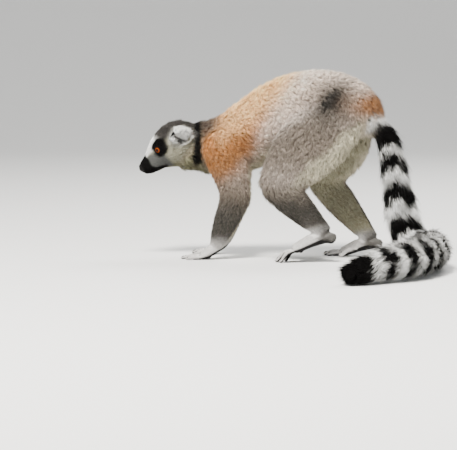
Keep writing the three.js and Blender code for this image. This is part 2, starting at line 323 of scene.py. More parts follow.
def set_attribute(mesh, name, values):
    """Stores one number, three numbers or one colour for each point."""
    values = np.asarray(values, np.float32)
    kind, field = KINDS[values.size // len(values)]
    mesh.attributes.new(name, kind, "POINT").data.foreach_set(field, values.ravel())


def get_attribute(mesh, name, width=1):
    values = np.empty(len(mesh.vertices) * width, np.float32)
    mesh.attributes[name].data.foreach_get(KINDS[width][1], values)
    return values.reshape(-1, width) if width > 1 else values


def lay_flat(mesh, places):
    """Gives the mesh its unwrap, one place on the sheet for each corner of each triangle."""
    layer = mesh.uv_layers.new(name="OFBake")
    layer.data.foreach_set("uv", places.astype(np.float32).ravel())


def edges_of(triangles):
    pairs = np.concatenate([triangles[:, ends] for ends in ([0, 1], [1, 2], [2, 0])])
    return np.unique(np.sort(pairs, axis=1), axis=0)


def spread(values, edges, rounds, share=0.5):
    """Evens values out over the surface by averaging each point with its neighbours."""
    a, b = edges[:, 0], edges[:, 1]
    count = len(values)
    near = np.maximum(np.bincount(a, minlength=count) + np.bincount(b, minlength=count), 1)
    flat = values.reshape(count, -1).astype(float)
    for _ in range(rounds):
        mean = np.empty_like(flat)
        for k in range(flat.shape[1]):
            column = flat[:, k]
            mean[:, k] = np.bincount(a, column[b], count) + np.bincount(b, column[a], count)
        mean /= near[:, None]
        flat = flat + (mean - flat) * share
    return flat.reshape(values.shape)


def normals_at(points, triangles):
    a, b, c = (points[triangles[:, k]] for k in range(3))
    faces = np.cross(b - a, c - a)
    total = np.zeros_like(points)
    for k in range(3):
        for axis in range(3):
            total[:, axis] += np.bincount(triangles[:, k], faces[:, axis], len(points))
    return unit(total)


# ---------------------------------------------------------------- skin


def flesh_nodes():
    return [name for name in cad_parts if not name.startswith("eye_")]


def region_of(node):
    return "tail" if node.startswith("tail_") else node


def part_of(region):
    """The coat table's name for a region."""
    return region.removesuffix("_left").removesuffix("_right")


def share_of(share, *names):
    """How much of each point belongs to the regions or parts named."""
    return sum(share[:, i] for i, name in enumerate(REGIONS) if name in names or part_of(name) in names)


def coat_value(share, column):
    """A column of the coat table at each point."""
    return sum(share[:, i] * COAT[part_of(name)][column] for i, name in enumerate(REGIONS))


def tail_path():
    return Path(TAIL, hint=(1, 0, 0.4), count=300)


def rough_skin(voxel):
    """One closed surface round all the solids of flesh and the eyes."""
    points, triangles, regions = [], [], []
    start = 0
    for name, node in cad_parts.items():
        p = corners_of(node.data)
        t = triangles_of(node.data)
        points.append(p + normals_at(p, t) * 0.4 * MM)
        triangles.append(t + start)
        region = "head" if name.startswith("eye_") else region_of(name)
        regions.append(np.full(len(t), REGIONS.index(region)))
        start += len(p)
    whole = mesh_from("flesh", np.vstack(points), np.vstack(triangles))
    tree = BVHTree.FromPolygons(np.vstack(points).tolist(), np.vstack(triangles).tolist())
    carrier = bpy.data.objects.new("flesh", whole)
    bpy.context.scene.collection.objects.link(carrier)
    remesh = carrier.modifiers.new("skin", "REMESH")
    remesh.mode = "VOXEL"
    remesh.voxel_size = voxel
    evaluated = carrier.evaluated_get(bpy.context.evaluated_depsgraph_get())
    mesh = bpy.data.meshes.new_from_object(evaluated)
    bpy.data.objects.remove(carrier)
    return mesh, tree, np.concatenate(regions)


def fine_areas(points):
    """1 on the head, hands and feet, where the skin keeps its small triangles."""
    spots = [(HEAD_AT, 78)]
    for side in SIDES:
        spots.append((ARMS[side][-1], 46))
        ankle, ball = (np.array(p, float) for p in LEGS[side][2:])
        spots += [(ankle, 34), ((ankle + ball) / 2, 30), (ball - [14, 0, 0], 38)]
    near = [smooth(size, size - 6, np.linalg.norm(points - np.array(at), axis=1)) for at, size in spots]
    return np.max(near, axis=0)


def thin_out(mesh, wanted):
    """Merges triangles where the coat is deep until the wanted number is left."""
    carrier = bpy.data.objects.new("flesh", mesh)
    bpy.context.scene.collection.objects.link(carrier)
    group = carrier.vertex_groups.new(name="coated")
    coated = 1 - fine_areas(to_body(corners_of(mesh)))
    for level in (0.0, 0.5, 1.0):
        chosen = np.flatnonzero(np.abs(coated - level) <= 0.25)
        group.add(chosen.tolist(), level, "REPLACE")
    thin = carrier.modifiers.new("thin", "DECIMATE")
    thin.ratio = min(1.0, wanted / (2 * len(mesh.polygons)))
    thin.vertex_group = "coated"
    thin.vertex_group_factor = 1000
    evaluated = carrier.evaluated_get(bpy.context.evaluated_depsgraph_get())
    out = bpy.data.meshes.new_from_object(evaluated)
    bpy.data.objects.remove(carrier)
    return out


def outer_shell(mesh):
    """Keeps the largest connected surface."""
    body = bmesh.new()
    body.from_mesh(mesh)
    body.verts.ensure_lookup_table()
    seen = np.zeros(len(body.verts), bool)
    best = []
    for vertex in body.verts:
        if seen[vertex.index]:
            continue
        seen[vertex.index] = True
        island = [vertex]
        for other in island:
            for edge in other.link_edges:
                following = edge.other_vert(other)
                if not seen[following.index]:
                    seen[following.index] = True
                    island.append(following)
        if len(island) > len(best):
            best = island
    keep = set(best)
    bmesh.ops.delete(body, geom=[v for v in body.verts if v not in keep], context="VERTS")
    return body


def refine(body):
    """Splits every edge of the nose's tip and of the lids."""
    points = to_body(np.array([v.co for v in body.verts]))
    inside = to_head(points)[:, 0] > NOSE_START
    for centre in eyes_in_body().values():
        inside |= np.linalg.norm(points - centre, axis=1) < LID_REACH
    body.verts.index_update()
    edges = [e for e in body.edges if inside[e.verts[0].index] and inside[e.verts[1].index]]
    bmesh.ops.subdivide_edges(body, edges=edges, cuts=1, use_grid_fill=True, smooth=0)


def eyes_in_body():
    ahead, out, up = EYE_AT
    return {"left": from_head([ahead, out, up]), "right": from_head([ahead, -out, up])}


def gaze(side):
    """The way an eye looks, in the body's axes."""
    out = -SIDES[side] * math.sin(GAZE)
    return unit(np.array([math.cos(GAZE), out, 0.02])) @ head_axes()


def coat_depth(body, share, head):
    """How far the skin lies under the tips of the coat, in millimetres."""
    depth = coat_value(share, 0)
    face = np.interp(head[:, 0], *FACE_DEPTH)
    for centre in eyes_in_body().values():
        near = np.linalg.norm(body - centre, axis=1)
        face = np.minimum(face, 1.0 + np.maximum(near - 11, 0) * 0.35)
    depth = depth + share_of(share, "head") * (face - COAT["head"][0])
    for side in SIDES:
        arm = Path(ARMS[side]).locate(body)[0]
        leg = Path(LEGS[side]).locate(body)[0]
        for part, along, stops, change in (
            ("forearm", arm, [80, 140, 165], [0.9, -0.9, -1.9]),
            ("hand", arm, [158, 175, 188], [0.8, 0.2, 0]),
            ("shank", leg, [140, 210, 252], [1.2, -0.8, -2.3]),
            ("foot", leg, [250, 275, 300], [1.1, 0.6, 0]),
        ):
            depth += share_of(share, f"{part}_{side}") * np.interp(along, stops, change)
    return np.maximum(depth, 0.15)


def in_ear(head, side):
    """Places in an ear's own axes: across, out and along it."""
    way = -SIDES[side]
    lean = Euler((EAR_LEAN[0] * way, EAR_LEAN[1], EAR_LEAN[2] * way), "ZYX").to_matrix()
    return (head - [EAR_AT[0], EAR_AT[1] * way, EAR_AT[2]]) @ np.array(lean)


def ear_hollow(head):
    """1 in the cups of the ears, and 1 in their folds, canal and the nook under the rim, which are sunk in
    and painted near black as their shade.
    """
    cup, dark = np.zeros(len(head)), np.zeros(len(head))
    for side in SIDES:
        e = in_ear(head, side)
        inside = smooth(1.0, 0.86, np.linalg.norm(e / EAR_SIZE, axis=1))
        cup = np.maximum(cup, inside * (e[:, 1] * -SIDES[side] > -8))
    flat = head[:, [0, 2]]
    for start, end in zip(EAR_FOLD[:-1], EAR_FOLD[1:]):
        a, line = np.array(start, float), np.array(end, float) - start
        t = np.clip((flat - a) @ line / (line @ line), 0, 1)
        gap = np.linalg.norm(flat - a - t[:, None] * line, axis=1)
        dark = np.maximum(dark, np.exp(-((gap / 2.3) ** 2)))
    for spot, reach in ((EAR_CANAL, 6.5), (EAR_NOOK, 7.0)):
        dark = np.maximum(dark, smooth(reach, reach - 2.5, np.linalg.norm(flat - spot, axis=1)))
    return cup, dark * cup


def sculpt_face(head, normal):
    """Lids, nostrils, lips and cheeks, in the head's own millimetres."""
    out = head.copy()
    axes = head_axes()
    for side in SIDES:
        centre = to_head(eyes_in_body()[side])
        look = gaze(side) @ axes.T
        offset = out - centre
        far = np.linalg.norm(offset, axis=1)
        way = offset / np.maximum(far, 1e-6)[:, None]
        angle = np.degrees(np.arccos(np.clip(way @ look, -1, 1)))
        level = unit(np.cross([0.0, 0, 1], look))
        across = way @ level
        above = way @ np.cross(look, level)
        turn = np.arctan2(above, across)
        slit = 36 + 7 * np.abs(np.cos(turn + 0.25 * SIDES[side])) ** 1.5 - 5 * np.maximum(np.sin(turn), 0)
        rim = smooth(slit - 2.5, slit + 2.0, angle)
        fold = np.exp(-(((angle - slit - 17) / 4.5) ** 2))
        lid = EYE_RADIUS - 2.0 + rim * 2.75 - fold * 0.6
        hold = (1 - smooth(slit + 14, slit + 44, angle)) * (far < 15)
        reach = far + (lid - far) * hold
        out = centre + way * reach[:, None]
    ahead, left, up = out.T
    side_way = np.abs(left)
    # Nostrils open to the sides of the tip, with a groove down the middle.
    for sign in (-1, 1):
        gap = np.linalg.norm((out - [55.6, 3.6 * sign, -2.6]) * [1.0, 1.0, 1.25], axis=1)
        out = out - normal * (1.9 * np.exp(-((gap / 1.7) ** 2)))[:, None]
    groove = np.exp(-((left / 0.7) ** 2)) * smooth(52, 56, ahead) * smooth(-1, -4, up)
    out = out - normal * (groove * 0.7)[:, None]
    # The line of the mouth runs back from under the nose.
    lip = np.interp(ahead, *MOUTH)
    line = np.exp(-(((up - lip) / 0.8) ** 2)) * smooth(17, 22, ahead) * smooth(56.5, 54, ahead)
    out = out - normal * (line * 1.0)[:, None]
    plump = np.exp(-(((up - lip - 3.2) / 2.4) ** 2)) * smooth(26, 40, ahead) * smooth(0, 3, side_way)
    out = out + normal * (plump * 0.5)[:, None]
    pad = smooth(51.5, 55, ahead) * smooth(-8, -5.5, up) * smooth(2.5, 0.5, up)
    out = out + normal * (pad * 0.5)[:, None]
    # Ears: a deep canal and a folded front edge.
    cup, dark = ear_hollow(out)
    canal = smooth(6.0, 2.0, np.linalg.norm(out[:, [0, 2]] - EAR_CANAL, axis=1)) * cup
    rear = cup * (1 - dark) * smooth(-17, -24, out[:, 0])
    return out + normal * (rear * 2.6 - dark * 1.3 - canal * 2.5)[:, None]


def make_skin(settings):
    """The skin's points, triangles, regions and outer form, in body millimetres."""
    mesh, tree, face_region = rough_skin(settings.skin_grid)
    body = outer_shell(thin_out(mesh, settings.skin_triangles))
    refine(body)
    bmesh.ops.triangulate(body, faces=body.faces[:])
    out = bpy.data.meshes.new("skin")
    body.to_mesh(out)
    body.free()

    points = to_body(corners_of(out))
    triangles = triangles_of(out)
    edges = edges_of(triangles)
    region = np.zeros(len(points), int)
    for i, p in enumerate(points * MM + shift() * MM):
        region[i] = face_region[tree.find_nearest(Vector(p))[2]]
    share = spread(np.eye(len(REGIONS))[region], edges, 60)

    fine = share_of(share, "head", "ear", "hand", "foot")
    small = share_of(share, "ear", "hand", "foot")
    for turn in range(EVEN_ROUNDS):
        hold = 1 - small * (turn > EVEN_ROUNDS_SMALL)
        for step in EVEN_STEPS:
            points = points + (spread(points, edges, 1, step) - points) * hold[:, None]
    points = points + (spread(points, edges, 8) - points) * (1 - fine)[:, None]

    head = to_head(points)
    normal = normals_at(points, triangles)
    depth = spread(coat_depth(points, share, head), edges, 6)
    inner = points - normal * depth[:, None]
    _, _, spot, _, far = tail_path().locate(points)
    radius = np.maximum(far - COAT["tail"][0], TAIL_CORE)
    core = spot + (points - spot) * (radius / np.maximum(far, 1))[:, None]
    at = smooth(0.35, 0.95, share_of(share, "tail"))[:, None]
    inner = inner + (core - inner) * at
    inner = spread(inner, edges, 3, 0.4) * (1 - fine[:, None]) + inner * fine[:, None]

    for side in SIDES:
        at = smooth(0.1, 0.9, share_of(share, f"ear_{side}"))[:, None]
        middle = from_head(np.array(EAR_AT) * [1, -SIDES[side], 1])
        inner = inner + (middle - inner) * at * EAR_SHRINK
    normal = normals_at(inner, triangles)
    at = smooth(0.3, 0.9, share_of(share, "head", "ear"))
    faced = sculpt_face(to_head(inner), normal @ head_axes().T)
    inner = inner + (from_head(faced) - inner) * at[:, None]
    return out, inner, triangles, edges, share, points


def limb_paths():
    paths = {"trunk": Path(SPINE), "neck": Path(SPINE), "tail": tail_path()}
    paths["head"] = Path([from_head([ahead, 0, 0]) for ahead in (-55, 0, 60)], hint=(0, 0, 1))
    for side in SIDES:
        way = -SIDES[side]
        ear = [from_head([-8, 20 * way, 4]), from_head([-30, 32 * way, 24])]
        paths[f"ear_{side}"] = Path(ear, hint=(1, 0, 0))
        for part in ARM_PARTS:
            paths[f"{part}_{side}"] = Path(ARMS[side] + [tuple(np.array(ARMS[side][-1]) - (40, 0, 2))])
        for part in LEG_PARTS:
            paths[f"{part}_{side}"] = Path(LEGS[side] + [tuple(np.array(LEGS[side][-1]) - (38, 0, 4))])
    return paths


def unwrap(mesh, points, triangles, share):
    """Lays the skin out flat: each region as a sheet rolled off round its own axis."""
    region = share[triangles].sum(1).argmax(1)
    sheet = np.zeros((len(triangles), 3, 2))
    paths = limb_paths()
    for i, name in enumerate(REGIONS):
        faces = np.flatnonzero(region == i)
        if not len(faces):
            continue
        corner = points[triangles[faces]]
        along, angle, *_ = paths[name].locate(corner.reshape(-1, 3))
        along = along.reshape(-1, 3)
        angle = angle.reshape(-1, 3) / (2 * math.pi)
        angle[:, 1:] += np.round(angle[:, :1] - angle[:, 1:])
        low, high = along.min(), along.max()
        left, bottom, right, top = SHEET[name]
        u = 0.06 + 0.88 * (along - low) / (high - low)
        v = 0.08 + 0.84 * (angle + 0.5)
        sheet[faces, :, 0] = left + (right - left) * np.clip(u, 0, 1)
        sheet[faces, :, 1] = bottom + (top - bottom) * np.clip(v, 0, 1)
    lay_flat(mesh, sheet)


# ---------------------------------------------------------------- markings


def blob(points, centre, size):
    """A soft patch: 1 at the centre and near 0 past the given half sizes."""
    return np.exp(-(((points - centre) / size) ** 2).sum(1))


class Coat:
    """The coat's colour in linear light at each point of the skin, laid on in layers."""

    def __init__(self, settings, points, normal, share):
        self.settings, self.points, self.normal, self.share = settings, points, normal, share
        self.both = {part: share_of(share, part) for part in COAT}
        self.mottle = cloud(points, 22, 3) - 0.5
        self.fine_mottle = cloud(points, 9, 5) - 0.5
        self.colour = np.tile(linear(settings.grey), (len(points), 1))

    def lay(self, cover, tone):
        over = linear(getattr(self.settings, tone))
        self.colour += (over - self.colour) * np.clip(cover, 0, 1)[:, None]

    def places(self):
        return self.points, *self.points.T, self.normal, self.both, self.mottle, self.fine_mottle


def paint_back(coat):
    """Peach on top, its own colour lightened by painted highlight from above, tan on the shoulder, pale over
    the loins and grey-brown low on the flank.
    """
    points, x, _, z, _, both, mottle, _ = coat.places()
    back = both["trunk"] + both["neck"] + both["upper_arm"]
    height = z - np.interp(x, *RIDGE)
    coat.lay(back, "tan")
    # The top of the back is painted lighter peach: its own colour and a painted highlight from above.
    coat.lay(back * smooth(-5, 32, height + mottle * 16) * smooth(-110, -60, x), "peach")
    coat.lay(back * smooth(-30, 26, x + mottle * 26 - height * 0.9) * 0.92, "pale")
    low = smooth(-22, -52, height + mottle * 22) * smooth(-62, -20, x)
    coat.lay((both["trunk"] + both["neck"]) * low * 0.85, "grey_brown")
    coat.lay(back * blob(points * [1, 0, 1], [-52, 0, 148], [42, 1, 32]) * 0.6, "brown")


def hip_crease_shade(coat):
    """A slanted patch of painted shade in the crease at the top of the haunch, between the back and the
    haunch.
    """
    _, x, y, z, _, _, mottle, fine_mottle = coat.places()
    along_hip = (x - 104) * 0.58 + (z - 249) * 0.81
    across_hip = (x - 104) * 0.81 - (z - 249) * 0.58
    near = np.stack([along_hip + mottle * 8, across_hip + fine_mottle * 5, np.abs(y)], 1)
    return blob(near, [0, 0, 42], [36, 27, 32])


def paint_limbs(coat):
    """Speckled grey-brown, with cream behind and inside, and the belly and throat between them. Painted shade
    darkens the crease at the top of the haunch and the inside of the right leg.
    """
    points, x, y, z, normal, both, mottle, _ = coat.places()
    inward = np.where(y < 0, normal[:, 1], -normal[:, 1])
    over_haunch = (z - 217) * 0.8 - (x - 83) * 0.6 + mottle * 14
    coat.lay(both["thigh"], "pale")
    coat.lay(both["thigh"] * smooth(28, 4, over_haunch) * 0.95, "grey_brown")
    # Painted shade in the crease at the top of the haunch, where it meets the back.
    coat.lay((both["trunk"] + both["thigh"]) * hip_crease_shade(coat) * 1.15, "hip_shade_grey")
    coat.lay(both["shank"], "grey_brown")
    knee = blob(points * [1, 0, 1], [46, 0, 124], [40, 1, 22])
    coat.lay((both["thigh"] + both["shank"]) * knee * 0.2, "pale")
    coat.lay(both["shank"] * smooth(132, 84, z + mottle * 16), "grey")
    arms = both["upper_arm"] + both["forearm"]
    coat.lay(arms * smooth(150, 112, z + mottle * 14) * 0.9, "grey_brown")
    coat.lay(arms * smooth(118, 66, z + mottle * 16), "grey")
    legs = both["thigh"] + both["shank"]
    coat.lay(legs * smooth(0.15, 0.65, inward), "cream")
    # The inner side of the far, right leg is painted darker olive as its shade.
    coat.lay(legs * smooth(0.15, 0.65, inward) * (y > 10) * 0.6, "olive")
    rear = (x - 140) * 0.713 - (z - 213) * 0.702 - 30 * (y > 0) + mottle * 12
    behind = both["thigh"] * smooth(-5, 7, rear) * smooth(96, 118, z)
    coat.lay(behind, "cream")
    coat.lay(behind * smooth(14, 40, rear + mottle * 10) * 0.4, "olive")
    coat.lay(arms * smooth(0.3, 0.75, inward * 0.8 + normal[:, 0] * 0.5), "cream")
    under = both["trunk"] + both["neck"]
    coat.lay(under * (smooth(-0.3, -0.8, normal[:, 2]) * smooth(-110, -90, x)), "cream")
    coat.lay(under * smooth(-0.1, -0.6, normal[:, 2]) * smooth(-80, -105, x), "olive")


def paint_rump(coat, down_tail, from_spine):
    """Rust over the root of the tail, with a white edge under it."""
    _, x, y, z, _, both, mottle, _ = coat.places()
    rear_end = both["trunk"] + both["thigh"] + both["tail"]
    rump = blob(np.stack([x, y * 0.5, z], 1), [158, 0, 240], [31, 26, 17])
    coat.lay(rear_end * rump * 1.4, "rust")
    cuff = smooth(-8, 2, down_tail) * smooth(28, 21, from_spine)
    cuff = cuff * smooth(229, 222, z + mottle * 6) * smooth(202, 210, z)
    coat.lay(rear_end * cuff * 0.9, "white")


def paint_neck(coat, band, ahead, up):
    """Grey behind the collar, and the collar itself, a dark band down behind the ear and cheek."""
    _, x, _, z, normal, both, mottle, fine_mottle = coat.places()
    nape = (both["neck"] + both["trunk"]) * smooth(-66, -92, x + mottle * 20)
    coat.lay(nape * smooth(120, 145, z) * 0.75, "grey_brown")
    coat.lay(nape * smooth(0.1, 0.7, normal[:, 2]) * smooth(-76, -98, x + fine_mottle * 10) * 0.8, "crown")
    front = both["neck"] + both["head"] + both["trunk"]
    cheek = both["neck"] * smooth(-12, 2, ahead - band)
    coat.lay(cheek, "olive")
    coat.lay(front * smooth(-13, -5, ahead - band) * smooth(-6, 12, up) * 0.85, "crown")
    collar = smooth(10.5, 7.0, np.abs(ahead - band - 3.0)) * smooth(-44, -34, up) * smooth(30, 12, up)
    coat.lay(front * collar, "near_black")


def paint_head(coat, band, head):
    """Olive cheeks, dark crown, white brow and ears with painted shade in their folds, grey muzzle, black eye
    patches and snout.
    """
    both, fine_mottle = coat.both, coat.fine_mottle
    ahead, left, up = head.T
    wide = np.abs(left)
    face = both["head"]
    lit = smooth(band + 4, band + 14, ahead)
    coat.lay(face * lit, "cheek")
    coat.lay(face * smooth(-16, -28, up - 0.25 * ahead + fine_mottle * 6), "olive")
    over_crown = up + 0.1 * wide + fine_mottle * 3 - 0.12 * np.minimum(ahead, 0)
    coat.lay(face * (smooth(14, 21, over_crown) * smooth(20, 13, ahead)), "crown")
    white = smooth(11, 18, ahead + 0.25 * (up - 20) + 0.5 * (wide - 10) + fine_mottle * 3)
    white *= smooth(14, 19, up + ahead * 0.25 - wide * 0.05)
    white = np.maximum(white, smooth(12, 16, ahead) * smooth(8.5, 6.5, wide) * (up > 0))
    coat.lay(face * white, "white")
    muzzle = smooth(9, 17, ahead - 0.15 * up) * smooth(6, 1, up - 0.1 * ahead) * smooth(6, 9, wide)
    coat.lay(face * muzzle * 0.92, "muzzle")
    for side in SIDES:
        centre = to_head(eyes_in_body()[side])
        gap = (head - (centre + [-0.4, 0, 0.9])) / [14.6, 13.0, 13.2]
        far = np.sqrt((gap**2).sum(1)) + 0.12 * np.minimum(gap[:, 2], 0) * -gap[:, 0] + fine_mottle * 0.12
        coat.lay(face * smooth(1.10, 0.90, far), "black")
    snout = ahead + 0.55 * np.maximum(-9 - up, 0) - 0.3 * np.maximum(up - 2, 0) + fine_mottle * 3
    coat.lay(face * smooth(35.5, 39.5, snout), "black")
    lip = np.interp(ahead, *MOUTH)
    coat.lay(face * smooth(3.4, 1.6, np.abs(up - lip)) * smooth(15, 20, ahead), "black")
    # Ears are white, with painted shade in their folds, canal and nook.
    _, dark = ear_hollow(head)
    coat.lay(both["ear"], "white")
    coat.lay(both["ear"] * dark, "near_black")


def paint_paws(coat):
    """Pale hands and feet with black palms and soles. The pale runs up the wrist."""
    points, x, _, z, normal, both, mottle, _ = coat.places()
    paws = both["hand"] + both["foot"]
    coat.lay(paws, "paw")
    coat.lay(both["forearm"] * smooth(42, 20, z + mottle * 8) * 0.8, "paw")
    for side in SIDES:
        ankle = LEGS[side][2]
        heel = smooth(-16, 0, x - ankle[0] + mottle * 8) * smooth(-20, -8, z - ankle[2])
        coat.lay(share_of(coat.share, f"foot_{side}") * heel * 0.9, "grey")
    coat.lay(paws * sole_side(points, normal), "black")


def paint_rings(coat, down_tail, spine, from_spine):
    """The tail's rings reach further down before and behind than at the sides."""
    points, s = coat.points, coat.settings
    along = down_tail - 7
    edge = ((points - spine) * [1, 0, 0.4]).sum(1) / np.maximum(from_spine, 1)
    wobble = (cloud(points, 9, 11) - 0.5) * 6
    arch = edge**2 * np.interp(along, [0, 70, 200, 240], [17, 13, 12, 3])
    starts = np.array(RINGS) - RING_OVERHANG - BLACK_LEAD * (np.arange(len(RINGS)) % 2 == 0)
    starts[0] = RINGS[0] - 9
    ring = np.searchsorted(starts, along + wobble - arch) % 2
    banded = np.where(ring[:, None], linear(s.black), linear(s.white))
    at = (smooth(0.25, 0.5, coat.both["tail"]) * smooth(-14, -6, along))[:, None]
    coat.colour += (banded - coat.colour) * at


def markings(settings, points, normal, share):
    """The coat's colour in linear light at each point of the skin."""
    coat = Coat(settings, points, normal, share)
    down_tail, _, spine, _, from_spine = tail_path().locate(points)
    paint_back(coat)
    paint_limbs(coat)
    paint_rump(coat, down_tail, from_spine)
    coat.colour *= 1 + 0.3 * (cloud(points, 14, 9) - 0.5)[:, None]
    head = to_head(points)
    ahead, _, up = head.T
    band = np.interp(up, *COLLAR) + coat.mottle * 4
    paint_neck(coat, band, ahead, up)
    paint_head(coat, band, head)
    paint_paws(coat)
    paint_rings(coat, down_tail, spine, from_spine)
    return coat.colour


def sole_side(points, normal):
    """1 under the hands and feet, from heel to toes, and 0 on the front of the ankle and wrist."""
    under = np.zeros(len(points))
    for side in SIDES:
        ankle, ball = (np.array(p, float) for p in LEGS[side][2:])
        lines = (
            (ankle + [13, 0, -9], ankle - [0, 0, 6], ball, ball - [38, 0, 4]),
            (np.array(ARMS[side][2]) + [4, 0, -4], ARMS[side][3], np.array(ARMS[side][3]) - [40, 0, 2]),
        )
        for line in lines:
            _, _, spot, _, far = Path(line).locate(points)
            below = (spot - points)[:, 2] / np.maximum(far, 1)
            under = np.maximum(under, smooth(0.0, 0.35, below) * (far < 24))
    return under * smooth(0.1, -0.25, normal[:, 2])


def bareness(points, normal, share):
    """1 on bare skin: the tip of the nose, palms and soles."""
    nose = smooth(51, 53.5, to_head(points)[:, 0]) * share_of(share, "head")
    return np.clip(share_of(share, "hand", "foot") * sole_side(points, normal) + nose, 0, 1)


# ---------------------------------------------------------------- lie of the coat


def coat_fields(points, outer, normal, share):
    """The way the hair lies, its length, width and lift, its number to a square centimetre, and its stray."""
    paths = limb_paths()
    flow = np.zeros_like(points)
    located = {}
    for i, name in enumerate(REGIONS):
        part = part_of(name)
        line = name
        if part in ARM_PARTS + LEG_PARTS:
            line = ("arm" if part in ARM_PARTS else "leg") + name.removeprefix(part)
        if line not in located:
            located[line] = paths[name].locate(points)
        way = located[line][3]
        if name == "head":
            way = unit(points - from_head([62, 0, -2]))
            way = way + 0.25 * np.array([0, 0, -1.0])
        if part == "ear":
            way = unit(points - paths[name].at[0])
        if name in ("trunk", "neck"):
            way = way + np.array([0, 0, -0.75]) * (1 - normal[:, 2:3] ** 2)
        if part == "thigh":
            way = way * 0.8 + np.array([0.45, 0, -0.45])
        if part == "upper_arm":
            way = way + np.array([0.3, 0, 0])
        flow += share[:, i : i + 1] * unit(way)
    flow = unit(flow - normal * (flow * normal).sum(1, keepdims=True))

    depth = np.maximum(((outer - points) * normal).sum(1), 0.2)
    usual, length, width, number, lift, stray = (coat_value(share, column) for column in range(6))
    ratio = np.maximum(np.clip(depth / usual, 0.12, 1.6), 0.6 * share_of(share, "ear"))
    length = length * ratio**0.8
    width = width * np.clip(ratio, 0.45, 1.2) ** 0.5
    number = number * np.clip(ratio, 0.3, 1.2) ** -0.7
    return flow, np.stack([length, width, lift], 1), number, stray


# ---------------------------------------------------------------- tufts


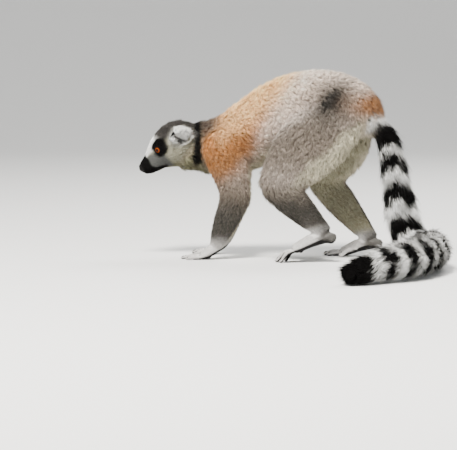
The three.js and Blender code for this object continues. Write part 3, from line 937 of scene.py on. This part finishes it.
def grow(settings, skin, cover, dice, name, tones):
    """Tufts over the chosen part of the skin, as one mesh of closed, bent and tapered locks."""
    mesh = skin.data
    points = to_body(corners_of(mesh))
    triangles = triangles_of(mesh)
    number = get_attribute(mesh, "number") * cover * settings.density
    corner = points[triangles]
    area = np.cross(corner[:, 1] - corner[:, 0], corner[:, 2] - corner[:, 0])
    area = np.linalg.norm(area, axis=1) / 2 / SQUARE_CM
    due = np.cumsum(area * number[triangles].mean(1)) + dice.random()
    face = np.searchsorted(due, np.arange(1, int(due[-1])))
    if len(face) > MOST_TUFTS:
        face = np.sort(dice.choice(face, MOST_TUFTS, replace=False))
    count = len(face)
    split = np.sqrt(dice.random(count))
    second = dice.random(count)
    share = np.stack([1 - split, split * (1 - second), split * second], 1)

    def at_root(field, width):
        values = get_attribute(mesh, field, width)[triangles[face]].reshape(count, 3, -1)
        return (values * share[..., None]).sum(1)

    root = (points[triangles[face]] * share[..., None]).sum(1)
    normal = unit(at_root("up", 3))
    flow = unit(at_root("flow", 3))
    size = at_root("size", 3)
    colour = at_root("coat", 4)[:, :3]
    loops = np.empty(len(mesh.loops) * 2, np.float32)
    mesh.uv_layers["OFBake"].data.foreach_get("uv", loops)
    sheet = (loops.reshape(-1, 3, 2)[face] * share[..., None]).sum(1)

    length, width, lift = size.T
    centre, lot = locks(root, np.maximum(length.mean() * settings.lock, 1.2), 5)
    side = np.cross(flow, normal)
    turn = lot[:, 0] - 0.5 + (dice.random(count) - 0.5) * 0.4
    turn = turn * at_root("stray", 1)[:, 0] * settings.unruly
    flow = flow * np.cos(turn)[:, None] + side * np.sin(turn)[:, None]
    side = np.cross(flow, normal)
    guard = dice.random(count) < GUARD_SHARE
    length = length * (0.74 + 0.3 * lot[:, 1] + 0.34 * (dice.random(count) - 0.3))
    length = length * np.where(guard, GUARD_LENGTH, 1.0)
    width = width * np.where(guard, GUARD_WIDTH, 1.0)
    lift = np.radians(lift * (0.78 + 0.44 * lot[:, 2]) + (dice.random(count) - 0.5) * 14 + guard * 6)
    early = np.cos(lift)[:, None] * flow + np.sin(lift)[:, None] * normal
    late = np.cos(lift * 0.4)[:, None] * flow + np.sin(lift * 0.4)[:, None] * normal
    pull = centre - root
    pull -= normal * (pull * normal).sum(1, keepdims=True)
    pull *= (LEAST_PULL + MORE_PULL * lot[:, :1]) * ~guard[:, None]
    bend = (lot[:, 1] - 0.5) * 0.9 + (dice.random(count) - 0.5) * 0.5
    curl = side * (bend * length * settings.curl)[:, None]
    start = root - normal * np.minimum(0.6, length * 0.08)[:, None]
    middle = start + early * (length * BEND_AT)[:, None] + pull * 0.3 + curl
    tip = middle + late * (length * (1 - BEND_AT))[:, None] + pull * 0.7 - curl * 1.6
    rise = np.cross(side, early)
    rise *= np.sign((rise * normal).sum(1, keepdims=True))
    half = side * width[:, None] / 2
    made = np.stack([start, middle - half, middle + half, middle + rise * (width * 0.34)[:, None], tip], 1)
    made[..., 2] = np.maximum(made[..., 2], 0.4 + dice.random((count, 5)) * 0.5)
    pattern = np.array([[1, 3, 4], [3, 2, 4], [2, 1, 4], [3, 1, 0], [2, 3, 0], [1, 2, 0]])
    faces = (pattern[None] + np.arange(count)[:, None, None] * 5).reshape(-1, 3)
    piece = mesh_from(name, to_frame(made.reshape(-1, 3)), faces)

    # Each tuft is darker at its root, partly the hair's own dark roots and partly painted shade deep in the
    # coat, and a little darker in its middle as painted shade; the speckle comes from tips of different tone.
    speckle = (dice.random(count) - 0.5) * settings.speckle + (lot[:, 1] - 0.5) * settings.speckle * 0.6
    speckle = np.where(guard, speckle * 1.6, speckle)
    bright = np.clip(1 + speckle, 0.35, 1.8)[:, None]
    pale = linear(settings.pale_tip)
    fade = (dice.random(count) ** 2 * tones[1] * smooth(0.01, 0.08, colour.mean(1)))[:, None]
    tip_tone = colour * bright * (1 + tones[0]) * (1 - fade) + pale * fade
    deep = 0.62 + 0.26 * smooth(0.3, 0.8, colour.mean(1))[:, None]
    shades = np.stack([colour * deep] + [colour * bright * 0.94] * 3 + [tip_tone], 1)
    rgba = np.concatenate([np.clip(shades, 0, 1), np.ones((count, 5, 1))], 2).reshape(-1, 4)
    set_attribute(piece, "coat", rgba)
    strand = np.array([0.0, -1.0, 1.0, 0.0, 0.0])[None] + dice.random((count, 1)) * 9
    set_attribute(piece, "strand", strand.ravel())

    spots = np.array([[0, -1], [-1, 0.0], [1, 0.0], [0, 0.2], [0, 1]]) * PATCH / 2
    where = np.clip((sheet[:, None] + spots[None]).reshape(-1, 2), 0.001, 0.999)
    lay_flat(piece, where[faces.ravel()])
    return piece


# ---------------------------------------------------------------- materials


class Look:
    """A new material with its main shader, to which other nodes are added and wired."""

    def __init__(self, name, roughness):
        self.material = bpy.data.materials.new(name)
        self.material.use_nodes = True
        self.tree = self.material.node_tree
        self.shader = self.fill(self.tree.nodes["Principled BSDF"], {"Roughness": roughness})

    def fill(self, node, sockets):
        for socket, value in sockets.items():
            node.inputs[socket].default_value = value
        return node

    def add(self, kind, sockets=None, **fields):
        node = self.tree.nodes.new("ShaderNode" + kind)
        for field, value in fields.items():
            setattr(node, field, value)
        return self.fill(node, sockets or {})

    def wire(self, *links):
        for source, output, node, socket in links:
            self.tree.links.new(source.outputs[output], node.inputs[socket])
        return self.material


def fur_material():
    """The coat's colours, with fine stripes of light and shade along each tuft."""
    look = Look("fur", 0.62)
    look.fill(look.shader, {"Specular IOR Level": 0.06})
    tone = look.add("Attribute", attribute_name="coat")
    strand = look.add("Attribute", attribute_name="strand")
    wave = look.add("Math", {1: 11.0}, operation="MULTIPLY")
    hairs = look.add("Math", operation="SINE")
    shade = look.add("MapRange", {"From Min": -1, "To Min": 0.78, "To Max": 1.2})
    striped = look.add("VectorMath", operation="SCALE")
    bump = look.add("Bump", {"Strength": 0.48, "Distance": 0.00015})
    return look.wire(
        (strand, "Fac", wave, 0),
        (wave, "Value", hairs, 0),
        (hairs, "Value", shade, "Value"),
        (tone, "Color", striped, 0),
        (shade, "Result", striped, "Scale"),
        (striped, "Vector", look.shader, "Base Color"),
        (hairs, "Value", bump, "Height"),
        (bump, "Normal", look.shader, "Normal"),
    )


def skin_material():
    """Short hair in the coat's colours, and fine-grained wet black skin where it is bare."""
    look = Look("skin", 0.8)
    look.fill(look.shader, {"Specular IOR Level": 0.08})
    tone = look.add("Attribute", attribute_name="coat")
    bare = look.add("Attribute", attribute_name="bare")
    grain = look.add("TexNoise", {"Scale": 900, "Detail": 4})
    fleck = look.add("Mix", {"Factor": 0.25}, data_type="RGBA", blend_type="MULTIPLY")
    black = look.add("Mix", {"B": (0.004, 0.0035, 0.0035, 1)}, data_type="RGBA")
    rough = look.add("MapRange", {"To Min": 0.85, "To Max": 0.5})
    cells = look.add("TexVoronoi", {"Scale": 1400})
    bump = look.add("Bump", {"Strength": 0.4, "Distance": 0.0003})
    return look.wire(
        (tone, "Color", fleck, "A"),
        (grain, "Color", fleck, "B"),
        (bare, "Fac", black, "Factor"),
        (fleck, "Result", black, "A"),
        (black, "Result", look.shader, "Base Color"),
        (bare, "Fac", rough, "Value"),
        (rough, "Result", look.shader, "Roughness"),
        (cells, "Distance", bump, "Height"),
        (bump, "Normal", look.shader, "Normal"),
    )


def eye_material(settings):
    """An orange iris, darkened by painted shade from the brow, with fine rays round a black pupil, under a
    clear wet surface.
    """
    look = Look("eye", 0.35)
    wet = {"Specular IOR Level": 0.0, "Coat Weight": 0.25, "Coat Roughness": 0.04, "Coat IOR": 1.36}
    look.fill(look.shader, wet)
    angle = look.add("Attribute", attribute_name="from_gaze")
    ramp = look.add("ValToRGB")
    iris = (*linear(settings.iris), 1)
    deep = (*(linear(settings.iris) * [0.45, 0.28, 0.2]), 1)
    black = (0.003, 0.002, 0.002, 1)
    stops = ramp.color_ramp.elements
    stops[0].position, stops[0].color = 0.0, black
    stops[1].position, stops[1].color = 1.0, (0.01, 0.006, 0.004, 1)
    rings = {0.18: black, 0.20: deep, 0.28: iris, 0.31: iris, 0.37: deep, 0.40: black}
    for position, colour in rings.items():
        stops.new(position).color = colour
    rays = look.add("TexNoise", {"Scale": 1500})
    mix = look.add("Mix", {"Factor": 0.35}, data_type="RGBA", blend_type="OVERLAY")
    return look.wire(
        (angle, "Fac", ramp, "Fac"),
        (ramp, "Color", mix, "A"),
        (rays, "Color", mix, "B"),
        (mix, "Result", look.shader, "Base Color"),
    )


def claw_material():
    """Dark horn."""
    look = Look("claw", 0.4)
    grain = look.add("TexNoise", {"Scale": 700})
    ramp = look.add("ValToRGB")
    ramp.color_ramp.elements[0].color = (0.02, 0.017, 0.015, 1)
    ramp.color_ramp.elements[1].color = (0.09, 0.075, 0.065, 1)
    return look.wire((grain, "Fac", ramp, "Fac"), (ramp, "Color", look.shader, "Base Color"))


# ---------------------------------------------------------------- settings


# Colours as a colour picker gives them.
COLOURS = {
    "tan": ((0.76, 0.50, 0.28), "Shoulders and sides"),
    # Peach is the top of the back's own colour with painted highlight.
    "peach": ((0.98, 0.78, 0.55), "Top of the back"),
    "pale": ((0.98, 0.92, 0.87), "Loins"),
    "brown": ((0.50, 0.36, 0.24), "Upper arm and lower shoulder"),
    "rust": ((0.60, 0.42, 0.28), "Patch over the tail"),
    "grey": ((0.28, 0.27, 0.255), "Forearm and lower leg"),
    "grey_brown": ((0.49, 0.445, 0.40), "Haunch and lower flank"),
    # Painted shade in the crease at the top of the haunch.
    "hip_shade_grey": ((0.20, 0.20, 0.195), "Top of the haunch"),
    "crown": ((0.24, 0.23, 0.225), "Top of the head and nape"),
    # Near black also paints the shade in the ears' folds, canal and nook.
    "near_black": ((0.06, 0.055, 0.055), "Collar behind the cheek"),
    "black": ((0.045, 0.04, 0.04), "Eye patches, snout and tail rings"),
    "white": ((0.96, 0.96, 0.95), "Brow, ears and tail rings"),
    "cream": ((0.82, 0.79, 0.69), "Belly and inner legs"),
    "cheek": ((0.66, 0.65, 0.57), "Cheeks"),
    # Olive also paints the shade on the inside of the right leg.
    "olive": ((0.47, 0.46, 0.36), "Throat and chest"),
    "muzzle": ((0.34, 0.35, 0.355), "Sides of the muzzle"),
    "paw": ((0.84, 0.83, 0.82), "Backs of the hands and feet"),
    "pale_tip": ((0.90, 0.86, 0.78), "Lightest hair tips"),
    # The iris's orange is darkened by painted shade from the brow.
    "iris": ((0.46, 0.21, 0.035), "Iris of the eye"),
}


def number(name, text, default, **limits):
    return bpy.props.FloatProperty(name=name, description=text, default=default, **limits)


def whole_number(name, text, default, **limits):
    return bpy.props.IntProperty(name=name, description=text, default=default, **limits)


class LemurSettings(bpy.types.PropertyGroup):
    """Sizes and colours of the animal."""

    skin_grid: number("Skin grid", "Spacing of the skin's mesh", 0.0011, min=0.001, unit="LENGTH")
    skin_triangles: whole_number("Skin triangles", "Triangles left in the skin", 170000, min=20000)
    density: number("Coat density", "Share of the full number of tufts", 1.0, min=0.05, max=1.5)
    speckle: number("Speckle", "How much tufts differ in tone", 0.42, min=0, max=1)
    lock: number("Lock size", "Width of a lock over the length of its tufts", 0.38, min=0.1, max=2)
    unruly: number("Unruliness", "Share of the full straying of locks", 1.3, min=0, max=3)
    curl: number("Curl", "Sideways bend of a tuft over its length", 0.22, min=0, max=1)
    seed: whole_number("Seed", "Seed of the coat", 4)
    tilt: number("Camera tilt", "How far the camera looks down", math.radians(5), subtype="ANGLE")
    turn: number("Camera turn", "Where it stands round the animal", math.radians(15), subtype="ANGLE")
    distance: number("Camera distance", "From the middle of the picture", 3.6, unit="LENGTH")


for name, (value, text) in COLOURS.items():
    LemurSettings.__annotations__[name] = bpy.props.FloatVectorProperty(
        name=name.replace("_", " ").capitalize(),
        description=text,
        subtype="COLOR_GAMMA",
        size=3,
        min=0,
        max=1,
        default=value,
    )


# ---------------------------------------------------------------- operators


class LEMUR_OT_skin(bpy.types.Operator):
    """Build the skin with its face, hands and feet."""

    bl_idname = "lemur.skin"
    bl_label = "Build skin"

    def execute(self, context):
        settings = context.scene.lemur
        mesh, points, triangles, edges, share, outer = make_skin(settings)
        mesh.vertices.foreach_set("co", to_frame(points).astype(np.float32).ravel())
        mesh.polygons.foreach_set("use_smooth", np.ones(len(mesh.polygons), bool))
        normal = normals_at(points, triangles)
        flow, size, number, stray = coat_fields(points, outer, normal, share)
        bare = bareness(points, normal, share)
        colour = markings(settings, points, normal, share)
        set_attribute(mesh, "coat", np.concatenate([colour, np.ones((len(points), 1))], 1))
        set_attribute(mesh, "up", spread(normal, edges, 4))
        set_attribute(mesh, "flow", spread(flow, edges, 8))
        set_attribute(mesh, "size", size)
        set_attribute(mesh, "stray", stray)
        # The ears' folds, canal and nook grow no tufts, so their skin shows the painted shade.
        _, dark = ear_hollow(to_head(points))
        number = number * (1 - smooth(0.2, 0.6, bare)) * clear_of_eyes(points) * (1 - dark)
        set_attribute(mesh, "number", number)
        set_attribute(mesh, "bare", bare)
        set_attribute(mesh, "region", share.argmax(1).astype(float))
        unwrap(mesh, points, triangles, share)
        mesh.update()
        add_piece("skin", mesh, skin_material(), flesh_nodes())
        return {"FINISHED"}


def clear_of_eyes(points):
    """0 on the lids' edges and behind them, 1 elsewhere."""
    clear = np.ones(len(points))
    for side, centre in eyes_in_body().items():
        offset = points - centre
        angle = np.degrees(np.arccos(np.clip(unit(offset) @ gaze(side), -1, 1)))
        near = np.linalg.norm(offset, axis=1) < 14
        clear = np.where(near, clear * smooth(44, 48, angle), clear)
    return clear


class LEMUR_OT_eyes(bpy.types.Operator):
    """Build the two eyes."""

    bl_idname = "lemur.eyes"
    bl_label = "Build eyes"

    def execute(self, context):
        material = eye_material(context.scene.lemur)
        for side, centre in eyes_in_body().items():
            ball = bmesh.new()
            bmesh.ops.create_uvsphere(ball, u_segments=48, v_segments=40, radius=1)
            bmesh.ops.triangulate(ball, faces=ball.faces[:])
            mesh = bpy.data.meshes.new(f"eye_{side}")
            ball.to_mesh(mesh)
            ball.free()
            round_points = corners_of(mesh)
            angle = np.arccos(np.clip(round_points[:, 2], -1, 1))
            bulge = 1 + 0.055 * smooth(0.78, 0.35, angle)
            look = gaze(side)
            across = unit(np.cross(look, [0.0, 0, 1]))
            axes = np.stack([across, np.cross(look, across), look])
            points = centre + (round_points * bulge[:, None] * (EYE_RADIUS - 0.1)) @ axes
            mesh.vertices.foreach_set("co", to_frame(points).astype(np.float32).ravel())
            mesh.polygons.foreach_set("use_smooth", np.ones(len(mesh.polygons), bool))
            set_attribute(mesh, "from_gaze", angle / math.pi * 2)
            loops = np.empty(len(mesh.loops), np.int32)
            mesh.loops.foreach_get("vertex_index", loops)
            spot = 0.5 + unit(round_points[:, :2]) * (angle / math.pi)[:, None] * 0.48
            lay_flat(mesh, spot[loops])
            mesh.update()
            add_piece(f"eyeball_{side}", mesh, material, [f"eye_{side}"])
        return {"FINISHED"}


def digit_ends():
    """Each digit's root, tip and thickness, as the solids have them, and if it is the scratching toe."""
    for side, sign in SIDES.items():
        for ball, digits in ((ARMS[side][-1], FINGERS), (LEGS[side][-1], TOES)):
            ankle = LEGS[side][2]
            rise = (ankle[2] - 6 - ball[2]) / (ankle[0] - ball[0]) if digits is TOES else 0
            for turn, (back, out, fan, long, thick) in enumerate(digits):
                height = ball[2] + max(0, -back) * rise - thick * 0.7
                root = np.array([ball[0] - back, ball[1] + sign * out, max(thick, height)])
                slope = 1.1 * rise * long if back < 0 and rise > 0 else math.inf
                reach = math.sqrt(long**2 - min(slope, root[2] - thick) ** 2)
                fan = math.radians(fan)
                low = max(thick * 0.5, root[2] - slope)
                aside = sign * reach * math.sin(fan)
                tip = np.array([root[0] - reach * math.cos(fan), root[1] + aside, low])
                yield root, tip, thick, digits is TOES and turn == 1


NAIL_SHEET = 600  # the length that the nails' unwrap spans, seen from above


def nail_form(long, wide, hook):
    """A thin shell shaped like a nail: rings round its middle, above and below."""
    spokes = np.linspace(0, 2 * math.pi, 14, endpoint=False)
    rings = [(0.0, 0.5), (0.5, 0.45), (0.85, 0.3), (1.0, 0.0), (0.85, -0.25), (0.5, -0.35), (0.0, -0.4)]
    points = []
    for reach, lift in rings:
        count = 1 if reach == 0 else len(spokes)
        u = reach * np.cos(spokes[:count]) * long / 2
        v = reach * np.sin(spokes[:count]) * wide / 2
        drop = v**2 / wide * 0.9 + (u + long / 2) ** 2 * hook
        points += list(np.stack([u, v, lift - drop], 1))
    n = len(spokes)
    faces = []
    for k in range(n):
        j = (k + 1) % n
        faces.append((0, 1 + k, 1 + j))
        for ring in range(4):
            a = 1 + ring * n
            faces += [(a + k, a + n + k, a + n + j), (a + k, a + n + j, a + j)]
        a = 1 + 4 * n
        faces.append((a + k, len(points) - 1, a + j))
    return np.array(points), np.array(faces)


class LEMUR_OT_nails(bpy.types.Operator):
    """Set a nail on every finger and toe."""

    bl_idname = "lemur.nails"
    bl_label = "Set nails"

    def execute(self, context):
        skin = bpy.data.objects["skin"].data
        tree = BVHTree.FromPolygons(corners_of(skin).tolist(), triangles_of(skin).tolist())
        points, faces = [], []
        start = 0
        for root, tip, thick, scratching in digit_ends():
            way = unit(tip - root)
            for back in (2.2, 4.0, 6.0, 8.0):
                above = to_frame(tip - way * back + [0, 0, 12])
                spot, normal, _, _ = tree.ray_cast(Vector(above), Vector((0, 0, -1)))
                if spot is not None:
                    break
            else:
                spot, normal, _, _ = tree.find_nearest(Vector(to_frame(tip - way * 3)))
            up = np.array(normal)
            along = unit(way - up * (way @ up))
            across = np.cross(up, along)
            long, wide, hook = (6.4, 2.0, 0.05) if scratching else (4.6, thick * 0.95, 0.035)
            shape, pattern = nail_form(long, wide, hook)
            seat = to_body(np.array(spot)) + along * 0.9 + up * (1.0 if scratching else 0.42)
            points.append(seat + shape @ np.stack([along, across, up]))
            faces.append(pattern + start)
            start += len(shape)
        placed = np.vstack(points)
        placed[:, 2] = np.maximum(placed[:, 2], 0.3)
        mesh = mesh_from("nails", to_frame(placed), np.vstack(faces))
        lay_flat(mesh, (placed[np.vstack(faces).ravel()][:, :2] / NAIL_SHEET + 0.5) % 1)
        add_piece("nails", mesh, claw_material())
        return {"FINISHED"}


# Each piece of the coat: its parts, its slot, how much lighter its tips are and how many tips fade to pale.
# A part too big for one piece is shared out: by side, or before and behind a line across the body.
COAT_PIECES = {
    "coat_head": (("head",), "white_coat", (0.12, 0.22), None),
    "coat_ears": (("ear",), "white_coat", (0.05, 0.15), None),
    "coat_neck": (("neck",), "grey_coat", (0.16, 0.25), None),
    "coat_shoulders": (("trunk",), "tan_coat", (0.16, 0.3), ("x", -1, 20)),
    "coat_loins": (("trunk",), "tan_coat", (0.16, 0.3), ("x", 1, 20)),
    "coat_upper_arms": (("upper_arm",), "tan_coat", (0.14, 0.3), None),
    "coat_forearms": (("forearm",), "grey_coat", (0.14, 0.35), None),
    "coat_thigh_left": (("thigh",), "grey_coat", (0.14, 0.35), ("y", -1, 0)),
    "coat_thigh_right": (("thigh",), "grey_coat", (0.14, 0.35), ("y", 1, 0)),
    "coat_shanks": (("shank",), "grey_coat", (0.14, 0.35), None),
    "coat_paws": (("hand", "foot"), "white_coat", (0.1, 0.2), None),
    "coat_tail_base": (("tail",), "ringed_coat", (0.05, 0.05), ("tail", -1, 265)),
    "coat_tail_end": (("tail",), "ringed_coat", (0.05, 0.05), ("tail", 1, 265)),
}


def share_of_piece(parts, divide, points, region):
    """1 at the points of the skin where a piece of the coat grows."""
    wanted = np.array([part_of(name) in parts for name in REGIONS], float)[region]
    if divide is None:
        return wanted
    measure, way, line = divide
    if measure == "tail":
        value = tail_path().locate(points)[0]
    else:
        value = points[:, "xyz".index(measure)]
    return wanted * ((value - line) * way > 0)


class LEMUR_OT_coat(bpy.types.Operator):
    """Grow the coat's tufts over the skin."""

    bl_idname = "lemur.coat"
    bl_label = "Grow coat"

    def execute(self, context):
        settings = context.scene.lemur
        skin = bpy.data.objects["skin"]
        material = fur_material()
        points = to_body(corners_of(skin.data))
        region = get_attribute(skin.data, "region").round().astype(int)
        for turn, (name, (parts, slot, tones, divide)) in enumerate(COAT_PIECES.items()):
            dice = np.random.default_rng(settings.seed * 100 + turn)
            cover = share_of_piece(parts, divide, points, region)
            mesh = grow(settings, skin, cover, dice, name, tones)
            add_piece(name, mesh, material)
        return {"FINISHED"}


# The stage, in metres, watts and degrees from the camera's side.
MIDDLE = (-66.6, 0, 49.6)  # what the camera looks at, in body millimetres
PICTURE_WIDTH = 457 * 1.55 * MM  # how much of the animal's plane the picture shows
SENSOR = 36
SWEEP = 3.0  # radius of the backdrop's bend, which starts at the same distance behind the animal
FLOOR_FRONT, FLOOR_HALF, BACKDROP_TOP = 6.0, 14, 9.0
LAMPS = {  # place, size, power and colour
    "key": ((-0.1, -1.6, 2.4), 0.8, 255, (1.0, 0.965, 0.91)),
    "fill": ((-2.0, -1.8, 1.1), 2.0, 22, (0.95, 0.97, 1.0)),
    "rim": ((0.6, 1.7, 2.1), 1.2, 60, (1.0, 0.98, 0.94)),
}


def studio_floor(turn):
    """A pale floor that bends up into a backdrop, square to the camera."""
    bend = np.linspace(0, SWEEP, 25)
    reach = np.concatenate([[-FLOOR_FRONT], SWEEP + bend, [2 * SWEEP]])
    rise = np.concatenate([[0.0], SWEEP - np.sqrt(np.maximum(SWEEP**2 - bend**2, 0)), [BACKDROP_TOP]])
    away = Vector((-math.sin(turn), math.cos(turn), 0))
    across = Vector((math.cos(turn), math.sin(turn), 0))
    corners = []
    for r, h in zip(reach, rise):
        corners += [away * r + across * w + Vector((0, 0, h)) for w in (-FLOOR_HALF, FLOOR_HALF)]
    quads = [(2 * i, 2 * i + 1, 2 * i + 3, 2 * i + 2) for i in range(len(reach) - 1)]
    mesh = bpy.data.meshes.new("floor")
    mesh.from_pydata(corners, [], quads)
    mesh.polygons.foreach_set("use_smooth", np.ones(len(quads), bool))
    look = Look("floor", 0.9)
    look.fill(look.shader, {"Base Color": (0.82, 0.82, 0.81, 1)})
    mesh.materials.append(look.material)
    return mesh


class LEMUR_OT_stage(bpy.types.Operator):
    """Set the floor, light and camera."""

    bl_idname = "lemur.stage"
    bl_label = "Set stage"

    def execute(self, context):
        scene = context.scene
        settings = scene.lemur
        ground = bpy.data.objects.new("floor", studio_floor(settings.turn))
        scene.collection.objects.link(ground)

        scene.world = bpy.data.worlds.new("studio")
        scene.world.use_nodes = True
        sky = scene.world.node_tree.nodes["Background"]
        sky.inputs["Color"].default_value = (0.94, 0.97, 1.0, 1)
        sky.inputs["Strength"].default_value = 0.48
        for name, (place, size, energy, colour) in LAMPS.items():
            light = bpy.data.lights.new(name, "AREA")
            light.size = size
            light.energy = energy
            light.color = colour
            lamp = bpy.data.objects.new(name, light)
            scene.collection.objects.link(lamp)
            lamp.location = place
            lamp.rotation_euler = (Vector((0, 0, 0.15)) - lamp.location).to_track_quat("-Z", "Y").to_euler()

        turn, tilt = settings.turn, settings.tilt
        level = math.cos(tilt)
        back = Vector((math.sin(turn) * level, -math.cos(turn) * level, math.sin(tilt)))
        lens = bpy.data.cameras.new("camera")
        camera = bpy.data.objects.new("camera", lens)
        scene.collection.objects.link(camera)
        camera.location = Vector(to_frame(MIDDLE)) + back * settings.distance
        camera.rotation_euler = back.to_track_quat("Z", "Y").to_euler()
        lens.sensor_width = SENSOR
        lens.lens = SENSOR * settings.distance / PICTURE_WIDTH
        scene.camera = camera
        return {"FINISHED"}


class LEMUR_PT_panel(bpy.types.Panel):
    """Lists the steps that build the animal."""

    bl_label = "Ring-tailed lemur"
    bl_idname = "LEMUR_PT_panel"
    bl_space_type = "VIEW_3D"
    bl_region_type = "UI"
    bl_category = "Lemur"

    def draw(self, context):
        layout = self.layout
        for name in LemurSettings.__annotations__:
            layout.prop(context.scene.lemur, name)
        for step in STEPS:
            layout.operator(step.bl_idname)


STEPS = (LEMUR_OT_skin, LEMUR_OT_eyes, LEMUR_OT_nails, LEMUR_OT_coat, LEMUR_OT_stage)
CLASSES = (LemurSettings, *STEPS, LEMUR_PT_panel)


def register():
    for item in CLASSES:
        bpy.utils.register_class(item)
    bpy.types.Scene.lemur = bpy.props.PointerProperty(type=LemurSettings)


def unregister():
    del bpy.types.Scene.lemur
    for item in reversed(CLASSES):
        bpy.utils.unregister_class(item)


def main():
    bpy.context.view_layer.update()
    register()
    bpy.ops.lemur.skin()
    bpy.ops.lemur.eyes()
    bpy.ops.lemur.nails()
    bpy.ops.lemur.coat()
    bpy.ops.lemur.stage()


if __name__ == "__main__":
    main()
